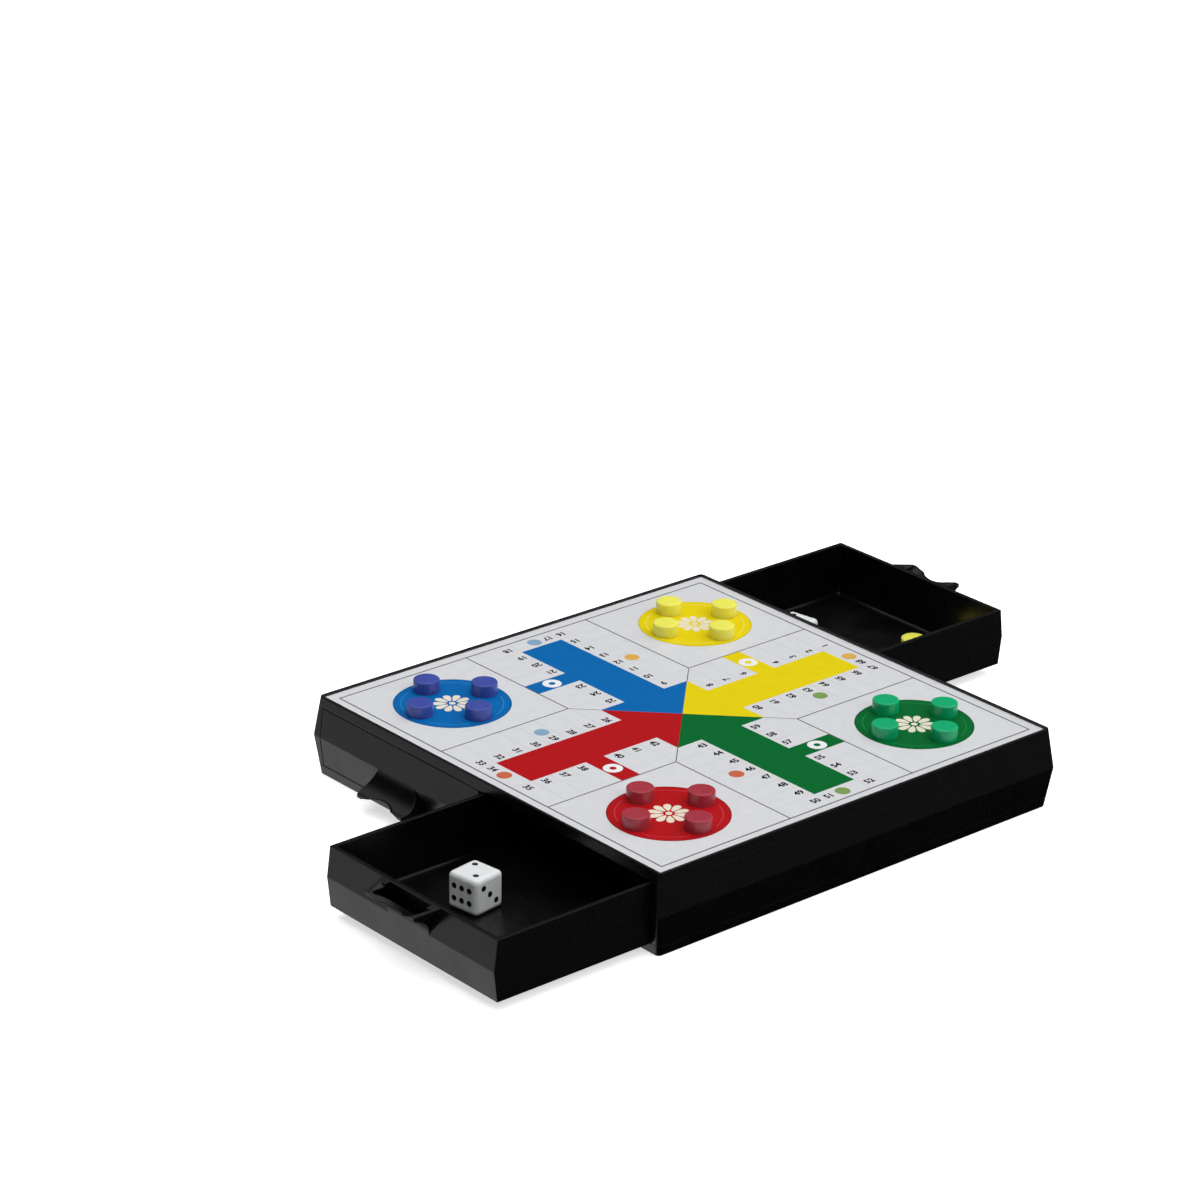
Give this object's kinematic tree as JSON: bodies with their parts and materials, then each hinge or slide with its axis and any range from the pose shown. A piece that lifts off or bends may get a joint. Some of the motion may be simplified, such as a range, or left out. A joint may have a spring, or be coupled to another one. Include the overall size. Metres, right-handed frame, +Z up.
{
  "type": "magnetic parcheesi board",
  "caption": "Flat square double-sided travel board with a printed steel sheet on each face, small magnetic pawns, dice and pull-out drawers for the loose pieces.",
  "frame": {"origin": "middle of the underside of the case, level with its raised edge", "axes": "+Z up from the underside to the parcheesi face, -Y the front, where the right-hand drawer is pulled out, +X the right-hand side"},
  "size_m": [0.2246, 0.4059, 0.0409],
  "materials": {
    "black_plastic": "satin moulded",
    "printed_board": "printed, semi-gloss",
    "printed_track": "printed, semi-gloss",
    "pawn_yellow": "glossy",
    "pawn_green": "glossy",
    "pawn_red": "glossy",
    "pawn_blue": "glossy",
    "magnet": "plated",
    "die_white": "glossy"
  },
  "bodies": {
    "case": {"case_frame": "black_plastic", "top_panel": "black_plastic", "bottom_panel": "black_plastic", "parcheesi_sheet": "printed_board", "track_sheet": "printed_track"},
    "drawer_front_right": {"drawer_front_right": "black_plastic"},
    "drawer_back_left": {"drawer_back_left": "black_plastic"},
    "drawer_front_left": {"drawer_front_left": "black_plastic"},
    "drawer_back_right": {"drawer_back_right": "black_plastic"},
    "pawn_yellow_1": {"pawn_yellow_1": "pawn_yellow", "magnet_yellow_1": "magnet"},
    "pawn_yellow_2": {"pawn_yellow_2": "pawn_yellow", "magnet_yellow_2": "magnet"},
    "pawn_yellow_3": {"pawn_yellow_3": "pawn_yellow", "magnet_yellow_3": "magnet"},
    "pawn_yellow_4": {"pawn_yellow_4": "pawn_yellow", "magnet_yellow_4": "magnet"},
    "pawn_green_1": {"pawn_green_1": "pawn_green", "magnet_green_1": "magnet"},
    "pawn_green_2": {"pawn_green_2": "pawn_green", "magnet_green_2": "magnet"},
    "pawn_green_3": {"pawn_green_3": "pawn_green", "magnet_green_3": "magnet"},
    "pawn_green_4": {"pawn_green_4": "pawn_green", "magnet_green_4": "magnet"},
    "pawn_red_1": {"pawn_red_1": "pawn_red", "magnet_red_1": "magnet"},
    "pawn_red_2": {"pawn_red_2": "pawn_red", "magnet_red_2": "magnet"},
    "pawn_red_3": {"pawn_red_3": "pawn_red", "magnet_red_3": "magnet"},
    "pawn_red_4": {"pawn_red_4": "pawn_red", "magnet_red_4": "magnet"},
    "pawn_blue_1": {"pawn_blue_1": "pawn_blue", "magnet_blue_1": "magnet"},
    "pawn_blue_2": {"pawn_blue_2": "pawn_blue", "magnet_blue_2": "magnet"},
    "pawn_blue_3": {"pawn_blue_3": "pawn_blue", "magnet_blue_3": "magnet"},
    "pawn_blue_4": {"pawn_blue_4": "pawn_blue", "magnet_blue_4": "magnet"},
    "pawn_spare": {"pawn_spare": "pawn_yellow", "magnet_spare": "magnet"},
    "die_front": {"die_front": "die_white"},
    "die_back": {"die_back": "die_white"}
  },
  "joints": [
    {"name": "drawer_front_right_slide", "type": "slide", "parent": "case", "child": "drawer_front_right", "axis": [0, -1, 0], "range_m": [-0.0781, 0.0117]},
    {"name": "drawer_back_left_slide", "type": "slide", "parent": "case", "child": "drawer_back_left", "axis": [0, 1, 0], "range_m": [-0.0846, 0.0052]},
    {"name": "drawer_front_left_slide", "type": "slide", "parent": "case", "child": "drawer_front_left", "axis": [0, -1, 0], "range_m": [0, 0.0898]},
    {"name": "drawer_back_right_slide", "type": "slide", "parent": "case", "child": "drawer_back_right", "axis": [0, 1, 0], "range_m": [0, 0.0898]},
    {"name": "pawn_yellow_1_lift", "type": "slide", "parent": "case", "child": "pawn_yellow_1", "axis": [0, 0, 1], "range_m": [0, 0.03]},
    {"name": "pawn_yellow_2_lift", "type": "slide", "parent": "case", "child": "pawn_yellow_2", "axis": [0, 0, 1], "range_m": [0, 0.03]},
    {"name": "pawn_yellow_3_lift", "type": "slide", "parent": "case", "child": "pawn_yellow_3", "axis": [0, 0, 1], "range_m": [0, 0.03]},
    {"name": "pawn_yellow_4_lift", "type": "slide", "parent": "case", "child": "pawn_yellow_4", "axis": [0, 0, 1], "range_m": [0, 0.03]},
    {"name": "pawn_green_1_lift", "type": "slide", "parent": "case", "child": "pawn_green_1", "axis": [0, 0, 1], "range_m": [0, 0.03]},
    {"name": "pawn_green_2_lift", "type": "slide", "parent": "case", "child": "pawn_green_2", "axis": [0, 0, 1], "range_m": [0, 0.03]},
    {"name": "pawn_green_3_lift", "type": "slide", "parent": "case", "child": "pawn_green_3", "axis": [0, 0, 1], "range_m": [0, 0.03]},
    {"name": "pawn_green_4_lift", "type": "slide", "parent": "case", "child": "pawn_green_4", "axis": [0, 0, 1], "range_m": [0, 0.03]},
    {"name": "pawn_red_1_lift", "type": "slide", "parent": "case", "child": "pawn_red_1", "axis": [0, 0, 1], "range_m": [0, 0.03]},
    {"name": "pawn_red_2_lift", "type": "slide", "parent": "case", "child": "pawn_red_2", "axis": [0, 0, 1], "range_m": [0, 0.03]},
    {"name": "pawn_red_3_lift", "type": "slide", "parent": "case", "child": "pawn_red_3", "axis": [0, 0, 1], "range_m": [0, 0.03]},
    {"name": "pawn_red_4_lift", "type": "slide", "parent": "case", "child": "pawn_red_4", "axis": [0, 0, 1], "range_m": [0, 0.03]},
    {"name": "pawn_blue_1_lift", "type": "slide", "parent": "case", "child": "pawn_blue_1", "axis": [0, 0, 1], "range_m": [0, 0.03]},
    {"name": "pawn_blue_2_lift", "type": "slide", "parent": "case", "child": "pawn_blue_2", "axis": [0, 0, 1], "range_m": [0, 0.03]},
    {"name": "pawn_blue_3_lift", "type": "slide", "parent": "case", "child": "pawn_blue_3", "axis": [0, 0, 1], "range_m": [0, 0.03]},
    {"name": "pawn_blue_4_lift", "type": "slide", "parent": "case", "child": "pawn_blue_4", "axis": [0, 0, 1], "range_m": [0, 0.03]},
    {"name": "pawn_spare_lift", "type": "slide", "parent": "drawer_back_left", "child": "pawn_spare", "axis": [0, 0, 1], "range_m": [0, 0.018]},
    {"name": "die_front_lift", "type": "slide", "parent": "drawer_front_right", "child": "die_front", "axis": [0, 0, 1], "range_m": [0, 0.0085]},
    {"name": "die_back_lift", "type": "slide", "parent": "drawer_back_left", "child": "die_back", "axis": [0, 0, 1], "range_m": [0, 0.0085]}
  ]
}
